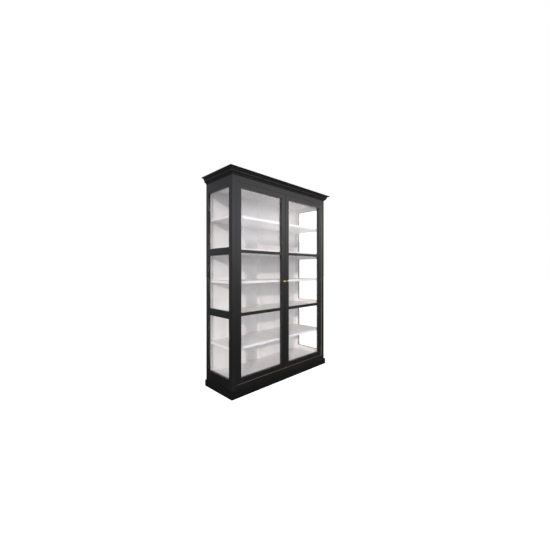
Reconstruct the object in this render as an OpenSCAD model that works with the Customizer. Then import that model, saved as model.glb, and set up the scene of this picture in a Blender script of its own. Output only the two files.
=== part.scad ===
// Glass display showcase: a painted case with a glazed frame on each side, five shelves
// and two glazed doors that turn on concealed pivots at their top and bottom.
// The origin is on the floor, at the middle of the cornice's outline. +Z is up and the doors face -Y.

/* [Case] */
// Height from the floor to the top of the cornice
total_h = 2108; // [2078:10:2158]
// Width across the side frames
body_w = 1400; // [1200:10:1600]
// Depth from the front frame to the back
body_d = 450; // [400:10:520]

/* [Frame] */
// Face width of a front post
post_w = 48; // [44:1:56]
// Depth of a front post, as seen from the side
post_d = 52; // [48:1:60]
// Depth of a rear post, as seen from the side
rear_post_d = 46; // [42:1:56]
// Thickness of the side frames
side_t = 35; // [32:1:38]
// Height of the side frames' middle rails
mid_rail_h = 69; // [50:1:80]
// Distance between the two rows of middle rails
mid_rail_pitch = 595; // [560:5:630]
// Top edge of the bottom side rails
sight_low = 166; // [156:1:175]
// Height left above the side glass
sight_drop = 164; // [156:1:175]

/* [Doors] */
// Bottom edge of the door opening
door_open_low = 114; // [109:1:116]
// Height left above the door opening
door_open_drop = 111; // [108:1:113]
// Gap at a door's hinge side, top and bottom
door_gap = 3; // [2.8:0.1:3.4]
// Gap between the two doors
meeting_gap = 5; // [4:0.5:6]
// How far the doors sit back from the front frame
door_recess = 3; // [2:0.5:4]
// Thickness of a door
door_t = 30; // [28:1:32]
// Width of the hinge stiles
hinge_stile_w = 54.5; // [46:0.5:60]
// Width of the meeting stiles
meeting_stile_w = 53.5; // [46:0.5:60]
// Height of a door's glazing bars
muntin_h = 28; // [24:1:36]

/* [Glass] */
// Thickness of the panes
glass_t = 4; // [3.5:0.5:5]
// Width of the ground bevel round each pane, hidden part included
bevel_w = 27; // [20:1:32]
// Depth of the ground bevel at the edge of the pane
bevel_drop = 1.5; // [1:0.1:1.8]
// Depth of the side panes behind the outer face
side_glass_in = 22; // [18:1:23]
// Depth of the door panes behind the front frame
door_glass_in = 23; // [20:1:24]
// Width of the rebates that the panes sit in
rebate_w = 10; // [8:1:12]

/* [Inside] */
// Number of shelves
shelf_n = 5; // [5:1:5]
// Thickness of a shelf
shelf_t = 24; // [18:1:30]
// Top of the bottom board
floor_z = 124; // [122:1:128]
// Height left above the ceiling board's underside
ceiling_drop = 116; // [114:1:118]
// Thickness of the bottom and ceiling boards
board_t = 18; // [15:1:20]
// Radius of a shelf pin
pin_r = 2.5; // [2:0.5:3]
// Thickness of the back panels
back_t = 6; // [4:1:8]
// Width of the batten over the back panels' joint
batten_w = 40; // [30:2:60]
// Thickness of that batten
batten_t = 12; // [8:1:14]

/* [Cornice and skirting] */
// Height of the cornice
cornice_h = 60; // [56:1:64]
// Overhang of the cornice
cornice_out = 55; // [50:1:60]
// Height of the skirting
plinth_h = 62; // [50:1:74]
// Thickness of the skirting
plinth_t = 14; // [10:1:20]

/* [Hardware] */
// Radius of a knob's ball
knob_r = 12.5; // [10:0.5:15]
// Height of a knob off the door
knob_out = 30; // [28:1:34]
// Distance of a knob from the middle of the case
knob_x = 27; // [22:1:30]
// Radius of a door's pivot pins
pivot_r = 3; // [2.5:0.1:3.5]
// Length of a pivot plate
pivot_plate_l = 32; // [24:1:40]
// Width of a pivot plate
pivot_plate_w = 14; // [12:1:16]
// Thickness of a pivot plate
pivot_plate_t = 1.2; // [1:0.1:1.3]

/* [Hidden] */
$fn = 48;

black_paint = "#2b2a2b";
white_paint = "#d9d4cf";
clear_glass = [0.85, 0.9, 0.9, 0.35];
brass = "#b58a3c";
black_steel = "#1c1c1e";
zinc = "#9a9a98";
catch_plastic = "#e4e2dc";

// Small amounts that keep pieces apart or set them into one another
fit = 0.05;            // radial clearance of a pin in its bore
bead_gap = 0.3;        // between a pane and the bead behind it
pane_gap = 1;          // between a pane's edge and the bottom of its rebate
stop_gap = 2;          // between a closed door's back and the boards that it stops on
shelf_gap = 1;         // between a shelf and the frame round it
rail_low = 12;         // height of the bottom rails off the floor

// Planes of the case
half_w = body_w / 2;
y_front = cornice_out / 2 - body_d / 2;
y_back = cornice_out / 2 + body_d / 2;
roof_t = 18;
frame_top = total_h - roof_t;
cornice_low = total_h - cornice_h;
side_in = half_w - side_t;
post_in = half_w - post_w;
post_back = y_front + post_d;
rear_post_front = y_back - rear_post_d;
sight_high = total_h - sight_drop;
mid_z = (sight_low + sight_high) / 2;
rail_zs = [mid_z - mid_rail_pitch / 2, mid_z + mid_rail_pitch / 2];

// Planes of the inside
door_back = y_front + door_recess + door_t;
inner_y = door_back + stop_gap;
ceiling_z = total_h - ceiling_drop;
back_panel_y = y_back - 12;
back_rebate = 8;
batten_y = back_panel_y - batten_t;
shelf_pitch = (ceiling_z - floor_z) / (shelf_n + 1);
shelf_front = inner_y + 0.5;
shelf_back = back_panel_y - 2.5;
back_rail_t = 22.5;

// Shelf pins: their places along the depth and how far they go into the posts and stand out
pin_front_y = post_back - rebate_w - pin_r - 1;
pin_rear_y = rear_post_front + rebate_w + pin_r + 6;
pin_in = 10;
pin_out = 9;

// Glazing of the side frames
glass_x = half_w - side_glass_in;
glazing_low = sight_low - rebate_w;
glazing_high = sight_high + rebate_w;
side_openings = [
  [sight_low, rail_zs[0] - mid_rail_h / 2],
  [rail_zs[0] + mid_rail_h / 2, rail_zs[1] - mid_rail_h / 2],
  [rail_zs[1] + mid_rail_h / 2, sight_high]
];

// Doors, measured for the right-hand one
door_open_high = total_h - door_open_drop;
door_x0 = meeting_gap / 2;
door_x1 = post_in - door_gap;
door_z0 = door_open_low + door_gap;
door_z1 = door_open_high - door_gap;
door_front = y_front + door_recess;
pane_x0 = door_x0 + meeting_stile_w;
pane_x1 = door_x1 - hinge_stile_w;
rebate_y = y_front + door_glass_in + bevel_drop * (1 - (rebate_w - pane_gap) / bevel_w);
web_h = 8;
door_openings = [
  [sight_low, rail_zs[0] - muntin_h / 2],
  [rail_zs[0] + muntin_h / 2, rail_zs[1] - muntin_h / 2],
  [rail_zs[1] + muntin_h / 2, sight_high]
];

// Pivots: the axis is set in from the door's edge and front, so that its corner clears the post as it turns
axis_x = door_x1 - 8;
axis_y = door_front + 6;
pin_depth = 10;
plate_x = [axis_x + 6 - pivot_plate_l, axis_x + 6];
plate_y = [axis_y - 4.5, axis_y - 4.5 + pivot_plate_w];

// Knob screw, strike plate and catch
screw_r = 2;
screw_head_r = 4;
screw_head_t = 2.2;
counterbore_r = 4.5;
counterbore_d = 3;
knob_bore = 12;
strike_x = [14, 44];
strike_z = [ceiling_z - 17, ceiling_z - 3];
strike_t = 1;
catch_x = [12, 46];
catch_d = 15;
catch_h = 18;

// ---- shared shapes ----

// A box between two corners
module slab(low, high) {
  translate(low)
    cube(high - low);
}

// A section drawn in Y and Z, drawn out along X from x0 to x1
module along_x(x0, x1) {
  translate([x0, 0, 0])
    rotate([90, 0, 90])
      linear_extrude(x1 - x0)
        children();
}

// A section drawn in X and Z, drawn out along Y from y0 to y1
module along_y(y0, y1) {
  translate([0, y1, 0])
    rotate([90, 0, 0])
      linear_extrude(y1 - y0)
        children();
}

// A turned shape whose outline is drawn in radius and distance, standing out towards -Y
module turned(x, y, z) {
  translate([x, y, z])
    rotate([90, 0, 0])
      rotate_extrude()
        children();
}

// The outline of a pane that has a ground bevel along both edges of its front
function bevel_outline(size) = [
  [0, bevel_drop], [bevel_w, 0], [size - bevel_w, 0], [size, bevel_drop], [size, glass_t], [0, glass_t]
];

// A pane w wide and h high with its front towards -Y: the two outlines meet in mitres
module bevelled_pane(w, h) {
  intersection() {
    linear_extrude(h)
      polygon(bevel_outline(w));
    along_x(0, w)
      polygon([for (p = bevel_outline(h)) [p[1], p[0]]]);
  }
}

// A flat ring in the X and Z plane, from y0 to y1, round the opening x0 to x1 and z0 to z1
module ring(x0, x1, z0, z1, width, y0, y1) {
  difference() {
    slab([x0 - width, y0, z0 - width], [x1 + width, y1, z1 + width]);
    slab([x0, y0 - 1, z0], [x1, y1 + 1, z1]);
  }
}

// ---- skirting, posts and rails, drawn for the right-hand side ----

module plinth_side() {
  linear_extrude(plinth_h)
    polygon([
      [half_w, y_front], [half_w + plinth_t, y_front - plinth_t],
      [half_w + plinth_t, y_back], [half_w, y_back]
    ]);
}

// Holes for the pins under each shelf
module pin_holes(x, y) {
  for (i = [1:shelf_n])
    translate([x - 1, y, shelf_low(i) - pin_r])
      rotate([0, 90, 0])
        cylinder(h = pin_in + 1 + 0.5, r = pin_r + fit);
}

module front_post() {
  difference() {
    slab([post_in, y_front, 0], [half_w, post_back, frame_top]);
    slab([post_in - 1, post_back - rebate_w, glazing_low], [glass_x, post_back + 1, glazing_high]);
    pin_holes(post_in, pin_front_y);
  }
}

module rear_post() {
  difference() {
    slab([side_in, rear_post_front, 0], [half_w, y_back, frame_top]);
    slab([side_in - 1, rear_post_front - 1, glazing_low], [glass_x, rear_post_front + rebate_w, glazing_high]);
    slab([side_in - 1, back_panel_y, -1], [side_in + back_rebate, y_back + 1, frame_top + 1]);
    pin_holes(side_in, pin_rear_y);
  }
}

module side_bottom_rail() {
  difference() {
    slab([side_in, post_back, rail_low], [half_w, rear_post_front, sight_low]);
    slab([side_in - 1, post_back - 1, glazing_low], [glass_x, rear_post_front + 1, sight_low + 1]);
  }
}

module side_top_rail() {
  difference() {
    slab([side_in, post_back, sight_high], [half_w, rear_post_front, frame_top]);
    slab([side_in - 1, post_back - 1, sight_high - 1], [glass_x, rear_post_front + 1, glazing_high]);
  }
}

// The outer part of a middle rail shows, and the inner part reaches into the posts' rebates
module side_mid_rails() {
  for (z = rail_zs)
    union() {
      slab([glass_x, post_back, z - mid_rail_h / 2], [half_w, rear_post_front, z + mid_rail_h / 2]);
      slab(
        [side_in, post_back - rebate_w, z - mid_rail_h / 2 + rebate_w],
        [glass_x, rear_post_front + rebate_w, z + mid_rail_h / 2 - rebate_w]
      );
    }
}

module side_glass() {
  edge = rebate_w - pane_gap;
  rim = bevel_drop * (1 - edge / bevel_w);
  for (o = side_openings)
    translate([glass_x + rim, post_back - edge, o[0] - edge])
      rotate([0, 0, 90])
        bevelled_pane(rear_post_front - post_back + 2 * edge, o[1] - o[0] + 2 * edge);
}

module side_beads() {
  rim = bevel_drop * (1 - (rebate_w - pane_gap) / bevel_w);
  for (o = side_openings)
    rotate([0, 0, 90])
      ring(
        post_back, rear_post_front, o[0], o[1], rebate_w,
        -(glass_x + rim - glass_t - bead_gap), -side_in
      );
}

// ---- boards, panels and cornice ----

// The plan of a board that fits between the posts and reaches forward between the front posts
module between_posts(front, back, gap) {
  polygon([
    [-post_in + gap, front], [post_in - gap, front], [post_in - gap, post_back + gap],
    [side_in - gap, post_back + gap], [side_in - gap, back], [-side_in + gap, back],
    [-side_in + gap, post_back + gap], [-post_in + gap, post_back + gap]
  ]);
}

module wide_board(z0, z1) {
  translate([0, 0, z0])
    linear_extrude(z1 - z0)
      between_posts(inner_y, back_panel_y, 0);
}

function shelf_low(i) = floor_z + i * shelf_pitch - shelf_t / 2;

module shelf(i) {
  color(white_paint)
    translate([0, 0, shelf_low(i)])
      linear_extrude(shelf_t)
        difference() {
          between_posts(shelf_front, shelf_back, shelf_gap);
          translate([-batten_w / 2 - shelf_gap, batten_y - shelf_gap])
            square([batten_w + 2 * shelf_gap, batten_t + 2]);
        }
}

module back_panel() {
  slab(
    [0.5, back_panel_y, floor_z - board_t],
    [side_in + back_rebate, back_panel_y + back_t, ceiling_z + board_t]
  );
}

// Section of the cornice, as overhang and height: a bead, a fillet, an ovolo, a narrow band, a cove and a lip
function arc(cx, cz, rx, rz, from, to, steps) = [
  for (i = [0:steps])
    let (a = from + (to - from) * i / steps)
    [cx + rx * cos(a), cz + rz * sin(a)]
];
bead_out = 8;
bead_h = 8;
fillet_h = 4;
ovolo_low = bead_h + fillet_h;
ovolo_high = 25;
band_h = 5;
band_out = 0.46 * cornice_out;
cove_low = ovolo_high + band_h;
lip_h = 7;
cornice_outline = concat(
  [[0, 0]],
  arc(2, bead_h, bead_out - 2, bead_h, -90, 0, 4),
  [[bead_out, ovolo_low]],
  arc(bead_out + 2, ovolo_high, band_out - bead_out - 4, ovolo_high - ovolo_low, -90, 0, 8),
  [[band_out, ovolo_high], [band_out, cove_low]],
  arc(cornice_out - 3, cove_low, cornice_out - 4 - band_out, cornice_h - lip_h - cove_low, 180, 90, 8),
  [[cornice_out - 3, cornice_h - lip_h], [cornice_out, cornice_h - lip_h + 3],
   [cornice_out, cornice_h - 1], [cornice_out - 1, cornice_h], [0, cornice_h]]
);

module cornice_side() {
  intersection() {
    along_y(y_front - cornice_out, y_back)
      translate([half_w, cornice_low])
        polygon(cornice_outline);
    translate([0, 0, cornice_low])
      linear_extrude(cornice_h)
        polygon([
          [half_w, y_front], [half_w + cornice_out, y_front - cornice_out],
          [half_w + cornice_out, y_back], [half_w, y_back]
        ]);
  }
}

// ---- hardware of the case ----

module pin_row(x, y) {
  for (i = [1:shelf_n])
    translate([x - pin_out, y, shelf_low(i) - pin_r])
      rotate([0, 90, 0])
        cylinder(h = pin_out + pin_in, r = pin_r);
}

// A hole for a pivot pin between two heights
module pivot_hole(low, high) {
  translate([axis_x, axis_y, low])
    cylinder(h = high - low, r = pivot_r + fit);
}

// A plate with a hole for a pivot pin, with its underside at z
module pivot_plate(z) {
  difference() {
    slab([plate_x[0], plate_y[0], z], [plate_x[1], plate_y[1], z + pivot_plate_t]);
    pivot_hole(z - 1, z + pivot_plate_t + 1);
  }
}

// The plates on the rails below and above a door
module frame_plates() {
  pivot_plate(door_open_low);
  pivot_plate(door_open_high - pivot_plate_t);
}

// The plates on a door's lower and upper ends
module door_plates() {
  pivot_plate(door_z0 - pivot_plate_t);
  pivot_plate(door_z1);
}

// A pin at each end of a door, standing in the rail and in the door's stile
module pin_pair() {
  for (z = [door_open_low - pin_depth, door_z1 - pin_depth])
    translate([axis_x, axis_y, z])
      cylinder(h = 2 * pin_depth + door_gap, r = pivot_r);
}

module catch() {
  slab([catch_x[0], inner_y, ceiling_z - catch_h], [catch_x[1], inner_y + catch_d, ceiling_z]);
}

// ---- doors, drawn for the right-hand one ----

module hinge_stile() {
  difference() {
    slab([pane_x1, door_front, door_z0], [door_x1, door_back, door_z1]);
    slab([pane_x1 - 1, rebate_y, glazing_low], [pane_x1 + rebate_w, door_back + 1, glazing_high]);
    pivot_hole(door_z0 - 1, door_z0 + pin_depth + 1);
    pivot_hole(door_z1 - pin_depth - 1, door_z1 + 1);
  }
}

module meeting_stile() {
  difference() {
    slab([door_x0, door_front, door_z0], [pane_x0, door_back, door_z1]);
    slab([pane_x0 - rebate_w, rebate_y, glazing_low], [pane_x0 + 1, door_back + 1, glazing_high]);
    translate([knob_x, door_back + 1, mid_z])
      rotate([90, 0, 0])
        cylinder(h = door_t + 2, r = screw_r + fit);
    translate([knob_x, door_back + 1, mid_z])
      rotate([90, 0, 0])
        cylinder(h = counterbore_d + 1, r = counterbore_r);
  }
}

// Top and bottom rails, rebated for the panes
module rail_pair() {
  difference() {
    slab([pane_x0, door_front, sight_high], [pane_x1, door_back, door_z1]);
    slab([pane_x0 - 1, rebate_y, sight_high - 1], [pane_x1 + 1, door_back + 1, glazing_high]);
  }
  difference() {
    slab([pane_x0, door_front, door_z0], [pane_x1, door_back, sight_low]);
    slab([pane_x0 - 1, rebate_y, glazing_low], [pane_x1 + 1, door_back + 1, sight_low + 1]);
  }
}

// Glazing bars of T section, whose webs part the panes and reach into the stiles' rebates
module muntin_pair() {
  for (z = rail_zs)
    union() {
      slab([pane_x0, door_front, z - muntin_h / 2], [pane_x1, rebate_y, z + muntin_h / 2]);
      slab(
        [pane_x0 - rebate_w, rebate_y, z - web_h / 2],
        [pane_x1 + rebate_w, door_back, z + web_h / 2]
      );
    }
}

module door_glass() {
  edge = rebate_w - pane_gap;
  for (o = door_openings)
    translate([pane_x0 - edge, y_front + door_glass_in, o[0] - edge])
      bevelled_pane(pane_x1 - pane_x0 + 2 * edge, o[1] - o[0] + 2 * edge);
}

module door_beads() {
  for (o = door_openings)
    ring(pane_x0, pane_x1, o[0], o[1], rebate_w, y_front + door_glass_in + glass_t + bead_gap, door_back);
}

// Knob with a rose, a waisted neck and a ball, bored from behind for its screw
module knob() {
  rose_r = 8;
  neck_r = 4.5;
  ball_c = knob_out - knob_r;
  neck_top = ball_c - sqrt(knob_r * knob_r - neck_r * neck_r);
  turned(knob_x, door_front, mid_z)
    difference() {
      union() {
        polygon([
          [0, 0], [rose_r, 0], [rose_r, 1.4], [rose_r - 0.8, 2.2],
          [neck_r + 0.6, 2.6], [neck_r, 3.4], [neck_r, neck_top + 1], [0, neck_top + 1]
        ]);
        translate([0, ball_c])
          intersection() {
            circle(r = knob_r);
            translate([0, -knob_r])
              square([knob_r, 2 * knob_r]);
          }
      }
      translate([-1, -1])
        square([screw_r + fit + 1, knob_bore + 1]);
    }
}

module knob_screw() {
  head_y = door_back - counterbore_d + screw_head_t;
  turned(knob_x, head_y, mid_z)
    union() {
      square([screw_head_r, screw_head_t]);
      square([screw_r, door_t - counterbore_d + screw_head_t + knob_bore - 1.5]);
    }
}

module strike_plate() {
  slab([strike_x[0], door_back, strike_z[0]], [strike_x[1], door_back + strike_t, strike_z[1]]);
}

// ---- the case's own pieces ----

module plinth_front() {
  color(black_paint)
    linear_extrude(plinth_h)
      polygon([
        [-half_w, y_front], [half_w, y_front],
        [half_w + plinth_t, y_front - plinth_t], [-half_w - plinth_t, y_front - plinth_t]
      ]);
}
module plinth_left() { color(black_paint) mirror([1, 0, 0]) plinth_side(); }
module plinth_right() { color(black_paint) plinth_side(); }
module front_post_left() { color(black_paint) mirror([1, 0, 0]) front_post(); }
module front_post_right() { color(black_paint) front_post(); }
module rear_post_left() { color(black_paint) mirror([1, 0, 0]) rear_post(); }
module rear_post_right() { color(black_paint) rear_post(); }
module face_rail_top() {
  color(black_paint)
    difference() {
      slab([-post_in, y_front, door_open_high], [post_in, inner_y, frame_top]);
      for (side = [0, 1])
        mirror([side, 0, 0])
          pivot_hole(door_open_high - 1, door_open_high + pin_depth + 1);
    }
}
module face_rail_bottom() {
  color(black_paint)
    difference() {
      slab([-post_in, y_front, rail_low], [post_in, inner_y, door_open_low]);
      for (side = [0, 1])
        mirror([side, 0, 0])
          pivot_hole(door_open_low - pin_depth - 1, door_open_low + 1);
    }
}
module side_bottom_rail_left() { color(black_paint) mirror([1, 0, 0]) side_bottom_rail(); }
module side_bottom_rail_right() { color(black_paint) side_bottom_rail(); }
module side_mid_rails_left() { color(black_paint) mirror([1, 0, 0]) side_mid_rails(); }
module side_mid_rails_right() { color(black_paint) side_mid_rails(); }
module side_top_rail_left() { color(black_paint) mirror([1, 0, 0]) side_top_rail(); }
module side_top_rail_right() { color(black_paint) side_top_rail(); }
module back_top_rail() {
  color(black_paint)
    slab([-side_in, y_back - back_rail_t, ceiling_z + board_t], [side_in, y_back, frame_top]);
}
module back_bottom_rail() {
  color(black_paint)
    slab([-side_in, y_back - back_rail_t, rail_low], [side_in, y_back, floor_z - board_t]);
}
module base_board() { color(white_paint) wide_board(floor_z - board_t, floor_z); }
module ceiling_board() { color(white_paint) wide_board(ceiling_z, ceiling_z + board_t); }
module roof_panel() {
  color(black_paint)
    slab([-half_w, y_front, frame_top], [half_w, y_back, total_h]);
}
module cornice_front() {
  color(black_paint)
    intersection() {
      along_x(-half_w - cornice_out, half_w + cornice_out)
        translate([y_front, cornice_low])
          polygon([for (p = cornice_outline) [-p[0], p[1]]]);
      translate([0, 0, cornice_low])
        linear_extrude(cornice_h)
          polygon([
            [-half_w, y_front], [half_w, y_front],
            [half_w + cornice_out, y_front - cornice_out], [-half_w - cornice_out, y_front - cornice_out]
          ]);
    }
}
module cornice_left() { color(black_paint) mirror([1, 0, 0]) cornice_side(); }
module cornice_right() { color(black_paint) cornice_side(); }
module side_glass_left() { color(clear_glass) mirror([1, 0, 0]) side_glass(); }
module side_glass_right() { color(clear_glass) side_glass(); }
module side_beads_left() { color(white_paint) mirror([1, 0, 0]) side_beads(); }
module side_beads_right() { color(white_paint) side_beads(); }
module back_panel_left() { color(white_paint) mirror([1, 0, 0]) back_panel(); }
module back_panel_right() { color(white_paint) back_panel(); }
module back_batten() {
  color(white_paint)
    slab([-batten_w / 2, batten_y, floor_z], [batten_w / 2, back_panel_y, ceiling_z]);
}
module shelf_1() { shelf(1); }
module shelf_2() { shelf(2); }
module shelf_3() { shelf(3); }
module shelf_4() { shelf(4); }
module shelf_5() { shelf(5); }
module shelf_pins() {
  color(zinc)
    for (side = [0, 1])
      mirror([side, 0, 0]) {
        pin_row(post_in, pin_front_y);
        pin_row(side_in, pin_rear_y);
      }
}
module pivot_frame_plates() {
  color(black_steel)
    for (side = [0, 1])
      mirror([side, 0, 0])
        frame_plates();
}
module pivot_pins() {
  color(black_steel)
    for (side = [0, 1])
      mirror([side, 0, 0])
        pin_pair();
}
module magnetic_catches() {
  color(catch_plastic)
    for (side = [0, 1])
      mirror([side, 0, 0])
        catch();
}

// ---- the doors' pieces ----

module door_left_hinge_stile() { color(black_paint) mirror([1, 0, 0]) hinge_stile(); }
module door_left_meeting_stile() { color(black_paint) mirror([1, 0, 0]) meeting_stile(); }
module door_left_rails() { color(black_paint) mirror([1, 0, 0]) rail_pair(); }
module door_left_muntins() { color(black_paint) mirror([1, 0, 0]) muntin_pair(); }
module door_left_glass() { color(clear_glass) mirror([1, 0, 0]) door_glass(); }
module door_left_beads() { color(black_paint) mirror([1, 0, 0]) door_beads(); }
module door_left_knob() { color(brass) mirror([1, 0, 0]) knob(); }
module door_left_knob_screw() { color(zinc) mirror([1, 0, 0]) knob_screw(); }
module door_left_pivot_plates() { color(black_steel) mirror([1, 0, 0]) door_plates(); }
module door_left_strike_plate() { color(zinc) mirror([1, 0, 0]) strike_plate(); }
module door_right_hinge_stile() { color(black_paint) hinge_stile(); }
module door_right_meeting_stile() { color(black_paint) meeting_stile(); }
module door_right_rails() { color(black_paint) rail_pair(); }
module door_right_muntins() { color(black_paint) muntin_pair(); }
module door_right_glass() { color(clear_glass) door_glass(); }
module door_right_beads() { color(black_paint) door_beads(); }
module door_right_knob() { color(brass) knob(); }
module door_right_knob_screw() { color(zinc) knob_screw(); }
module door_right_pivot_plates() { color(black_steel) door_plates(); }
module door_right_strike_plate() { color(zinc) strike_plate(); }

plinth_front();
plinth_left();
plinth_right();
front_post_left();
front_post_right();
rear_post_left();
rear_post_right();
face_rail_top();
face_rail_bottom();
side_bottom_rail_left();
side_bottom_rail_right();
side_mid_rails_left();
side_mid_rails_right();
side_top_rail_left();
side_top_rail_right();
back_top_rail();
back_bottom_rail();
base_board();
ceiling_board();
roof_panel();
cornice_front();
cornice_left();
cornice_right();
side_glass_left();
side_glass_right();
side_beads_left();
side_beads_right();
back_panel_left();
back_panel_right();
back_batten();
shelf_1();
shelf_2();
shelf_3();
shelf_4();
shelf_5();
shelf_pins();
pivot_frame_plates();
pivot_pins();
magnetic_catches();
door_left_hinge_stile();
door_left_meeting_stile();
door_left_rails();
door_left_muntins();
door_left_glass();
door_left_beads();
door_left_knob();
door_left_knob_screw();
door_left_pivot_plates();
door_left_strike_plate();
door_right_hinge_stile();
door_right_meeting_stile();
door_right_rails();
door_right_muntins();
door_right_glass();
door_right_beads();
door_right_knob();
door_right_knob_screw();
door_right_pivot_plates();
door_right_strike_plate();
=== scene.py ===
"""Looks for the glass display showcase: paint, glass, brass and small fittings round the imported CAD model."""

import math

import bpy
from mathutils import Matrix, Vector


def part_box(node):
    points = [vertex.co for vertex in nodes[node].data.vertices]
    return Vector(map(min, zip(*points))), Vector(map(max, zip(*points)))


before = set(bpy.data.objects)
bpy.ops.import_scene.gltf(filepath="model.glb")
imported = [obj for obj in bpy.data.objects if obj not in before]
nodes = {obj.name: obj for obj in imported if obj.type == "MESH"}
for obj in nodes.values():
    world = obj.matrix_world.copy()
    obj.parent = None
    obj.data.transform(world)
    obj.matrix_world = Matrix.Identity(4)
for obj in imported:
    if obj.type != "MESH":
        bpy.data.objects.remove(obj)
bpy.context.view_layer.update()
scene = bpy.context.scene

MM = 0.001

# ---- places, read from the frame ----

LOW, HIGH = 0, 1
post_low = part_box("front_post_right")[LOW]
glass_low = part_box("side_glass_right")[LOW]
back_low, back_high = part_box("back_panel_right")
base_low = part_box("base_board")[LOW]
ceiling_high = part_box("ceiling_board")[HIGH]
front_y = post_low.y
inner_y = base_low.y

# ---- node helpers ----


def new_material(name):
    """An empty node material and its Principled shader, already joined to the output."""
    mat = bpy.data.materials.new(name)
    mat.use_nodes = True
    tree = mat.node_tree
    tree.nodes.clear()
    out = tree.nodes.new("ShaderNodeOutputMaterial")
    shader = tree.nodes.new("ShaderNodeBsdfPrincipled")
    tree.links.new(shader.outputs["BSDF"], out.inputs["Surface"])
    return mat, tree, shader


def object_coords(tree, scale):
    """The piece's own coordinates, in metres, stretched by scale."""
    coords = tree.nodes.new("ShaderNodeTexCoord")
    mapping = tree.nodes.new("ShaderNodeMapping")
    mapping.inputs["Scale"].default_value = scale
    tree.links.new(coords.outputs["Object"], mapping.inputs["Vector"])
    return mapping.outputs["Vector"]


def noise(tree, scale, detail, stretch=(1, 1, 1)):
    """Values round 0.5, with a finer grain for a larger scale, in a piece's own coordinates."""
    tex = tree.nodes.new("ShaderNodeTexNoise")
    tex.inputs["Scale"].default_value = scale
    tex.inputs["Detail"].default_value = detail
    tree.links.new(object_coords(tree, stretch), tex.inputs["Vector"])
    return tex.outputs["Fac"]


def remap(tree, value, low, high, from_low=0.3, from_high=0.7):
    """A value that runs from low to high while the value given runs from from_low to from_high."""
    node = tree.nodes.new("ShaderNodeMapRange")
    node.inputs["From Min"].default_value = from_low
    node.inputs["From Max"].default_value = from_high
    node.inputs["To Min"].default_value = low
    node.inputs["To Max"].default_value = high
    tree.links.new(value, node.inputs["Value"])
    return node.outputs["Result"]


def math_node(tree, operation, a, b):
    """One operation on two values, each a number or a socket."""
    node = tree.nodes.new("ShaderNodeMath")
    node.operation = operation
    for socket, value in zip(node.inputs, (a, b)):
        if isinstance(value, (int, float)):
            socket.default_value = value
        else:
            tree.links.new(value, socket)
    return node.outputs["Value"]


def mix_colour(tree, factor, a, b):
    """Colour a where the factor is 0 and colour b where it is 1."""
    node = tree.nodes.new("ShaderNodeMix")
    node.data_type = "RGBA"
    for name, value in (("Factor", factor), ("A", a), ("B", b)):
        kind = "NodeSocketFloatFactor" if name == "Factor" else "NodeSocketColor"
        socket = next(s for s in node.inputs if s.name == name and s.bl_idname == kind)
        if isinstance(value, tuple):
            socket.default_value = (*value, 1)
        elif isinstance(value, (int, float)):
            socket.default_value = value
        else:
            tree.links.new(value, socket)
    return next(s for s in node.outputs if s.bl_idname == "NodeSocketColor")


def shade(tree, colour, factor):
    """A colour multiplied by a value."""
    node = tree.nodes.new("ShaderNodeVectorMath")
    node.operation = "SCALE"
    if isinstance(colour, tuple):
        node.inputs[0].default_value = colour
    else:
        tree.links.new(colour, node.inputs[0])
    tree.links.new(factor, node.inputs["Scale"])
    return node.outputs["Vector"]


def bump(tree, shader, height, strength, distance):
    """Gives a shader the relief of a height, distance metres deep."""
    node = tree.nodes.new("ShaderNodeBump")
    node.inputs["Strength"].default_value = strength
    node.inputs["Distance"].default_value = distance
    tree.links.new(height, node.inputs["Height"])
    tree.links.new(node.outputs["Normal"], shader.inputs["Normal"])


def in_box(tree, low, high):
    """1 inside a box given in metres and 0 outside it. A limit of None is open."""
    coords = tree.nodes.new("ShaderNodeTexCoord")
    split = tree.nodes.new("ShaderNodeSeparateXYZ")
    tree.links.new(coords.outputs["Object"], split.inputs["Vector"])
    inside = None
    for axis, lower, upper in zip("XYZ", low, high):
        for limit, operation in ((lower, "GREATER_THAN"), (upper, "LESS_THAN")):
            if limit is None:
                continue
            test = math_node(tree, operation, split.outputs[axis], limit)
            inside = test if inside is None else math_node(tree, "MULTIPLY", inside, test)
    return inside


# ---- materials ----

BLACK = (0.0055, 0.0050, 0.0048)
# The mouldings' black is darker than BLACK: painted shade, standing in for the shadow in the grooves of the
# cornice and plinth
SHADED_MOULDING_BLACK = (0.0030, 0.0026, 0.0025)
WHITE = (0.88, 0.858, 0.847)
BARE_EDGE = (0.38, 0.29, 0.24)
GLASS_TINT = (0.995, 1.0, 0.998)
BRASS_YELLOW = (0.92, 0.74, 0.40)
BRASS_BROWN = (0.60, 0.42, 0.18)
ZINC_PALE = (0.62, 0.62, 0.60)
ZINC_GREY = (0.45, 0.45, 0.44)
STEEL_BLACK = (0.02, 0.02, 0.021)
STEEL_WORN = (0.035, 0.03, 0.028)
PLASTIC_WHITE = (0.72, 0.70, 0.66)

# Sheen of a finish: the least and the most roughness in its patches
BLACK_SHEEN = (0.30, 0.38)
WHITE_SHEEN = (0.36, 0.46)
BRASS_POLISH = (0.12, 0.22)
ZINC_POLISH = (0.28, 0.42)
STEEL_POLISH = (0.3, 0.42)
PLASTIC_SHEEN = (0.4, 0.5)

PAINT_GLOSS = 0.5
MOULDING_GLOSS = 0.32
GLASS_IOR = 1.5


def finish_paint(tree, shader, colour, sheen, grain):
    """Sprayed satin paint: a faint cloudiness, an uneven sheen and a fine orange peel over long strokes."""
    cloud = remap(tree, noise(tree, 5, 4), 0.93, 1.07)
    tree.links.new(shade(tree, colour, cloud), shader.inputs["Base Color"])
    tree.links.new(remap(tree, noise(tree, 14, 5, grain), *sheen), shader.inputs["Roughness"])
    peel = noise(tree, 420, 2)
    strokes = noise(tree, 60, 3, grain)
    bump(tree, shader, math_node(tree, "ADD", peel, strokes), 0.25, 0.08 * MM)


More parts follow.
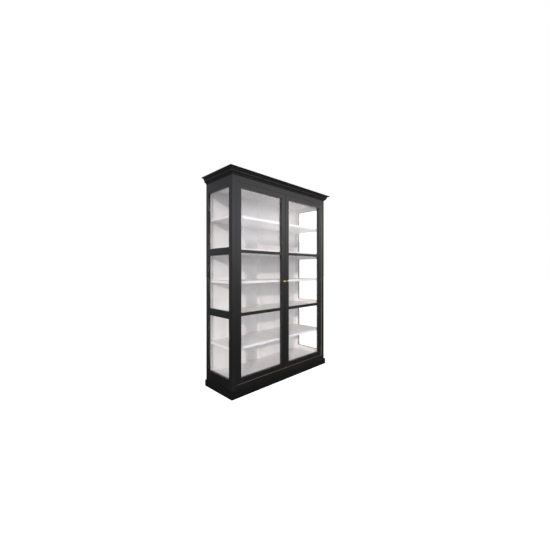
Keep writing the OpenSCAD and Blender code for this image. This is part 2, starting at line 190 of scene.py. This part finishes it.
def black_paint(name, grain, zones=(), colour=BLACK, gloss=PAINT_GLOSS):
    """Black satin paint, with another colour inside each zone: (low corner, high corner, colour)."""
    mat, tree, shader = new_material(name)
    for low, high, zone_colour in zones:
        colour = mix_colour(tree, in_box(tree, low, high), colour, zone_colour)
    finish_paint(tree, shader, colour, BLACK_SHEEN, grain)
    shader.inputs["Specular IOR Level"].default_value = gloss
    return mat


def white_paint(name, grain):
    """White satin paint all over."""
    mat, tree, shader = new_material(name)
    finish_paint(tree, shader, WHITE, WHITE_SHEEN, grain)
    return mat


def clear_glass():
    """Clear float glass."""
    mat, tree, shader = new_material("clear_glass")
    shader.inputs["Base Color"].default_value = (*GLASS_TINT, 1)
    shader.inputs["Roughness"].default_value = 0.0
    shader.inputs["IOR"].default_value = GLASS_IOR
    shader.inputs["Transmission Weight"].default_value = 1.0
    return mat


def metal(name, colour, tarnish, polish, metallic=1.0):
    """A metal with a mottled finish: colour fades to tarnish in patches, and the polish is uneven."""
    mat, tree, shader = new_material(name)
    patches = remap(tree, noise(tree, 300, 4), 0.0, 1.0, 0.45, 0.75)
    tree.links.new(mix_colour(tree, patches, colour, tarnish), shader.inputs["Base Color"])
    tree.links.new(remap(tree, noise(tree, 600, 3), *polish), shader.inputs["Roughness"])
    shader.inputs["Metallic"].default_value = metallic
    bump(tree, shader, noise(tree, 1800, 2), 0.1, 0.03 * MM)
    return mat


def moulded_plastic():
    """White plastic with a faint spark-eroded grain."""
    mat, tree, shader = new_material("catch_plastic")
    mottle = remap(tree, noise(tree, 80, 3), 0.95, 1.05)
    tree.links.new(shade(tree, PLASTIC_WHITE, mottle), shader.inputs["Base Color"])
    tree.links.new(remap(tree, noise(tree, 200, 2), *PLASTIC_SHEEN), shader.inputs["Roughness"])
    bump(tree, shader, noise(tree, 1500, 2), 0.2, 0.03 * MM)
    return mat


# The paint's strokes run along a piece, so the noise is drawn out along that axis
ALONG_X = (0.08, 1, 1)
ALONG_Y = (1, 0.08, 1)
ALONG_Z = (1, 1, 0.08)

# Zones of paint. The faces that look into the case are white, and the door opening has bare edges.
# Most limits lie a little past or inside a face, by less than the rounding of its edges.
arris = 0.3 * MM
case_inside = (
    (-glass_low.x, inner_y + arris, base_low.z),
    (glass_low.x, back_low.y + arris, ceiling_high.z),
    WHITE,
)
opening_x = post_low.x + arris
opening_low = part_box("face_rail_bottom")[HIGH].z - arris
opening_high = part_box("face_rail_top")[LOW].z + arris
door_reveal = (
    (-opening_x, front_y + arris, opening_low),
    (opening_x, inner_y, opening_high),
    BARE_EDGE,
)
post_inside = ((-opening_x, inner_y, base_low.z), (opening_x, back_low.y, ceiling_high.z), WHITE)
panel_front = ((None, None, None), (None, (back_low.y + back_high.y) / 2, None), WHITE)

DOOR_STILE = black_paint("door_stile_paint", ALONG_Z)
DOOR_RAIL = black_paint("door_rail_paint", ALONG_X)
BLACK_X = black_paint("black_along_x", ALONG_X)
# The cornice and plinth wear the darker black, which is painted shade for their grooves
SHADED_MOULDING_X = black_paint("moulding_painted_shade_along_x", ALONG_X, (), SHADED_MOULDING_BLACK, MOULDING_GLOSS)
SHADED_MOULDING_Y = black_paint("moulding_painted_shade_along_y", ALONG_Y, (), SHADED_MOULDING_BLACK, MOULDING_GLOSS)
POST = black_paint("post_paint", ALONG_Z, (case_inside, post_inside, door_reveal))
SIDE_RAIL = black_paint("side_rail_paint", ALONG_Y, (case_inside,))
FACE_RAIL = black_paint("face_rail_paint", ALONG_X, (door_reveal,))
BACK_PANEL = black_paint("back_panel_paint", ALONG_X, (panel_front,))
WHITE_BOARD = white_paint("white_board", ALONG_X)
WHITE_BEAD = white_paint("white_bead", ALONG_Z)
GLASS = clear_glass()
BRASS = metal("aged_brass", BRASS_YELLOW, BRASS_BROWN, BRASS_POLISH)
ZINC = metal("zinc_plate", ZINC_PALE, ZINC_GREY, ZINC_POLISH)
BLACK_STEEL = metal("black_steel", STEEL_BLACK, STEEL_WORN, STEEL_POLISH, metallic=0.4)
PLASTIC = moulded_plastic()

# What each node wears: the first entry whose word is in the node's name
LOOKS = (
    ("glass", GLASS),
    ("knob_screw", ZINC),
    ("strike_plate", ZINC),
    ("shelf_pins", ZINC),
    ("knob", BRASS),
    ("stile", DOOR_STILE),
    ("pivot", BLACK_STEEL),
    ("catches", PLASTIC),
    ("side_beads", WHITE_BEAD),
    ("shelf", WHITE_BOARD),
    ("board", WHITE_BOARD),
    ("batten", WHITE_BEAD),
    ("back_panel", BACK_PANEL),
    ("post", POST),
    ("face_rail", FACE_RAIL),
    ("side_bottom_rail", SIDE_RAIL),
    ("side_mid_rails", SIDE_RAIL),
    ("side_top_rail", SIDE_RAIL),
    ("plinth_front", SHADED_MOULDING_X),
    ("plinth", SHADED_MOULDING_Y),
    ("cornice_front", SHADED_MOULDING_X),
    ("cornice", SHADED_MOULDING_Y),
    ("door", DOOR_RAIL),
    ("", BLACK_X),
)

# Softened arrises, in metres: the first entry whose word is in the node's name. 0 leaves the node as it is.
ARRISES = (
    ("glass", 0),
    ("knob", 0),
    ("pin", 0),
    ("pivot", 0),
    ("strike", 0.2 * MM),
    ("beads", 0.4 * MM),
    ("catches", 0.8 * MM),
    ("shelf", 1.2 * MM),
    ("back_panel", 0.3 * MM),
    ("cornice", 0.4 * MM),
    ("", 0.5 * MM),
)


def first_match(table, name):
    """The value beside the first word of a table that is in a name."""
    return next(value for word, value in table if word in name)


def soften(piece, width):
    """Rounds a piece's arrises: its faces are joined up first, and the normals evened last."""
    weld = piece.modifiers.new("weld", "WELD")
    weld.merge_threshold = 0.01 * MM
    flatten = piece.modifiers.new("flatten", "DECIMATE")
    flatten.decimate_type = "DISSOLVE"
    flatten.angle_limit = math.radians(0.5)
    bevel = piece.modifiers.new("arris", "BEVEL")
    bevel.width = width
    bevel.segments = 2
    bevel.limit_method = "ANGLE"
    bevel.angle_limit = math.radians(35)
    even = piece.modifiers.new("even", "WEIGHTED_NORMAL")
    even.keep_sharp = False


for name, piece in nodes.items():
    piece.data.materials.clear()
    piece.data.materials.append(first_match(LOOKS, name))
    width = first_match(ARRISES, name)
    if width:
        soften(piece, width)
    if "glass" in name:
        piece.visible_shadow = False
        piece.visible_diffuse = False

# ---- floor, light and camera ----

# The backdrop is plain white to the eye. It is brighter through glass, which takes some light away.
PAGE_WHITE = 1.0
THROUGH_GLASS = 1.28
FLOOR_HALF = 40.0

# The sun: the way its rays travel, and its width in degrees
SUN_RAYS = (0.762, 0.587, -0.276)
SUN_STRENGTH = 1.4
SUN_WIDTH = 1.5
SUN_COLOUR = (1.0, 0.91, 0.85)

# The studio. Limits are heights, or places to the right, on a sphere of radius 1 round the case.
STUDIO_STRENGTH = 0.95
STUDIO_CURVE = 1.5
STUDIO_RISE = (-0.36, 0.02)
STUDIO_LEFT = 0.52
LEFT_TO_RIGHT = (-1.3, 1.3)
FAR_RIGHT = (0.68, 0.80)
FAR_RIGHT_SHARE = 0.35
FLOOR_GLOW = 0.75
FLOOR_GLOW_FADE = (-0.75, -0.45)
COOL = (0.90, 0.93, 1.0)
WARM = (1.0, 0.94, 0.90)
COOL_TO_WARM = (0.5, 0.85)

# The cloudy band: where its foot and its top fade, and where it starts on the way to the right
BAND_STRENGTH = 3.2
BAND_FOOT = (0.085, 0.115)
BAND_TOP = (0.19, 0.27)
BAND_START = (1.2, 1.33)
CLOUD_SCALE = 7
CLOUDINESS = (0.6, 1.3)

# The fill light: the direction towards it, and the angles in degrees where it starts and ends to fade
FILL_DIRECTION = (-0.68, -0.70, 0.20)
FILL_FADE = (10, 55)
FILL_STRENGTH = 0.56

# The camera: its place, its heading in degrees, its focal length in millimetres and its shift
PLACE = (-2.1665, -2.2606, 1.1723)
HEADING = -44.93
LENS = 18.045
SHIFT = (-0.00625, -0.00843)


def make_floor():
    """A plain pale floor, as bright as the backdrop is through glass. It lights nothing."""
    mesh = bpy.data.meshes.new("floor")
    corners = [(x * FLOOR_HALF, y * FLOOR_HALF, 0) for x, y in ((-1, -1), (1, -1), (1, 1), (-1, 1))]
    mesh.from_pydata(corners, [], [(0, 1, 2, 3)])
    floor = bpy.data.objects.new("floor", mesh)
    scene.collection.objects.link(floor)
    mat = bpy.data.materials.new("pale_floor")
    mat.use_nodes = True
    tree = mat.node_tree
    tree.nodes.clear()
    out = tree.nodes.new("ShaderNodeOutputMaterial")
    glow = tree.nodes.new("ShaderNodeEmission")
    glow.inputs["Color"].default_value = (1, 1, 1, 1)
    glow.inputs["Strength"].default_value = THROUGH_GLASS
    tree.links.new(glow.outputs["Emission"], out.inputs["Surface"])
    mesh.materials.append(mat)
    floor.location.z = -0.5 * MM
    floor.visible_diffuse = False
    floor.visible_glossy = False
    floor.visible_shadow = False


def facing(tree, direction, near, far):
    """1 within near degrees of a direction, fading to 0 at far degrees."""
    coords = tree.nodes.new("ShaderNodeTexCoord")
    dot = tree.nodes.new("ShaderNodeVectorMath")
    dot.operation = "DOT_PRODUCT"
    tree.links.new(coords.outputs["Generated"], dot.inputs[0])
    dot.inputs[1].default_value = Vector(direction).normalized()
    limits = [math.cos(math.radians(angle)) for angle in (far, near)]
    fade = remap(tree, dot.outputs["Value"], 0.0, 1.0, *limits)
    fade.node.interpolation_type = "SMOOTHSTEP"
    return fade


def studio_light(tree, direction, split):
    """Strength and colour of the studio in a direction: dark just below the horizon, with a cloudy band above
    it to the right of the camera, a fill light to the left and a glow from the floor."""
    x, y, z = (split.outputs[axis] for axis in "XYZ")
    rise = math_node(tree, "POWER", remap(tree, z, 0.0, STUDIO_STRENGTH, *STUDIO_RISE), STUDIO_CURVE)
    to_right = math_node(tree, "SUBTRACT", x, y)
    turn = remap(tree, to_right, STUDIO_LEFT, 1.0, *LEFT_TO_RIGHT)
    far_right = remap(tree, x, 1.0, FAR_RIGHT_SHARE, *FAR_RIGHT)
    glow = math_node(tree, "MULTIPLY", math_node(tree, "MULTIPLY", rise, far_right), turn)
    glow = math_node(tree, "ADD", glow, remap(tree, z, FLOOR_GLOW, 0.0, *FLOOR_GLOW_FADE))
    band = math_node(tree, "MULTIPLY", remap(tree, z, 0, 1, *BAND_FOOT), remap(tree, z, 1, 0, *BAND_TOP))
    band = math_node(tree, "MULTIPLY", band, remap(tree, to_right, 0, BAND_STRENGTH, *BAND_START))
    band = math_node(tree, "MULTIPLY", band, far_right)
    clouds = tree.nodes.new("ShaderNodeTexNoise")
    clouds.inputs["Scale"].default_value = CLOUD_SCALE
    clouds.inputs["Detail"].default_value = 3
    tree.links.new(direction, clouds.inputs["Vector"])
    band = math_node(tree, "MULTIPLY", band, remap(tree, clouds.outputs["Fac"], *CLOUDINESS, 0.35, 0.65))
    fill = math_node(tree, "MULTIPLY", facing(tree, FILL_DIRECTION, *FILL_FADE), FILL_STRENGTH)
    strength = math_node(tree, "ADD", math_node(tree, "ADD", glow, band), fill)
    return strength, mix_colour(tree, remap(tree, x, 0, 1, *COOL_TO_WARM), COOL, WARM)


def make_world():
    """The studio lights the case and shows in its reflections. The eye meets a plain white page."""
    world = bpy.data.worlds.new("studio")
    scene.world = world
    world.use_nodes = True
    tree = world.node_tree
    tree.nodes.clear()
    out = tree.nodes.new("ShaderNodeOutputWorld")
    coords = tree.nodes.new("ShaderNodeTexCoord")
    split = tree.nodes.new("ShaderNodeSeparateXYZ")
    tree.links.new(coords.outputs["Generated"], split.inputs["Vector"])
    studio = tree.nodes.new("ShaderNodeBackground")
    strength, colour = studio_light(tree, coords.outputs["Generated"], split)
    tree.links.new(strength, studio.inputs["Strength"])
    tree.links.new(colour, studio.inputs["Color"])
    page = tree.nodes.new("ShaderNodeBackground")
    page.inputs["Color"].default_value = (1, 1, 1, 1)
    path = tree.nodes.new("ShaderNodeLightPath")
    brightness = remap(tree, path.outputs["Is Camera Ray"], THROUGH_GLASS, PAGE_WHITE, 0, 1)
    tree.links.new(brightness, page.inputs["Strength"])
    bounced = math_node(tree, "MAXIMUM", path.outputs["Diffuse Depth"], path.outputs["Glossy Depth"])
    direct = math_node(tree, "LESS_THAN", bounced, 0.5)
    shadow = math_node(tree, "SUBTRACT", 1.0, path.outputs["Is Shadow Ray"])
    mix = tree.nodes.new("ShaderNodeMixShader")
    tree.links.new(math_node(tree, "MULTIPLY", direct, shadow), mix.inputs[0])
    tree.links.new(studio.outputs["Background"], mix.inputs[1])
    tree.links.new(page.outputs["Background"], mix.inputs[2])
    tree.links.new(mix.outputs["Shader"], out.inputs["Surface"])


def make_sun():
    """A low key light from the front left, fairly hard."""
    light = bpy.data.lights.new("key", "SUN")
    light.energy = SUN_STRENGTH
    light.angle = math.radians(SUN_WIDTH)
    light.color = SUN_COLOUR
    key = bpy.data.objects.new("key", light)
    key.rotation_mode = "QUATERNION"
    key.rotation_quaternion = Vector(SUN_RAYS).to_track_quat("-Z", "Y")
    scene.collection.objects.link(key)


def make_camera():
    """A wide lens held level, looking in at the front left corner."""
    data = bpy.data.cameras.new("camera")
    data.sensor_width = 36.0
    data.lens = LENS
    data.shift_x, data.shift_y = SHIFT
    data.clip_start = 0.05
    data.clip_end = 200
    camera = bpy.data.objects.new("camera", data)
    camera.location = PLACE
    camera.rotation_euler = (math.radians(90), 0, math.radians(HEADING))
    scene.collection.objects.link(camera)
    scene.camera = camera


make_floor()
make_world()
make_sun()
make_camera()
scene.view_settings.view_transform = "Standard"
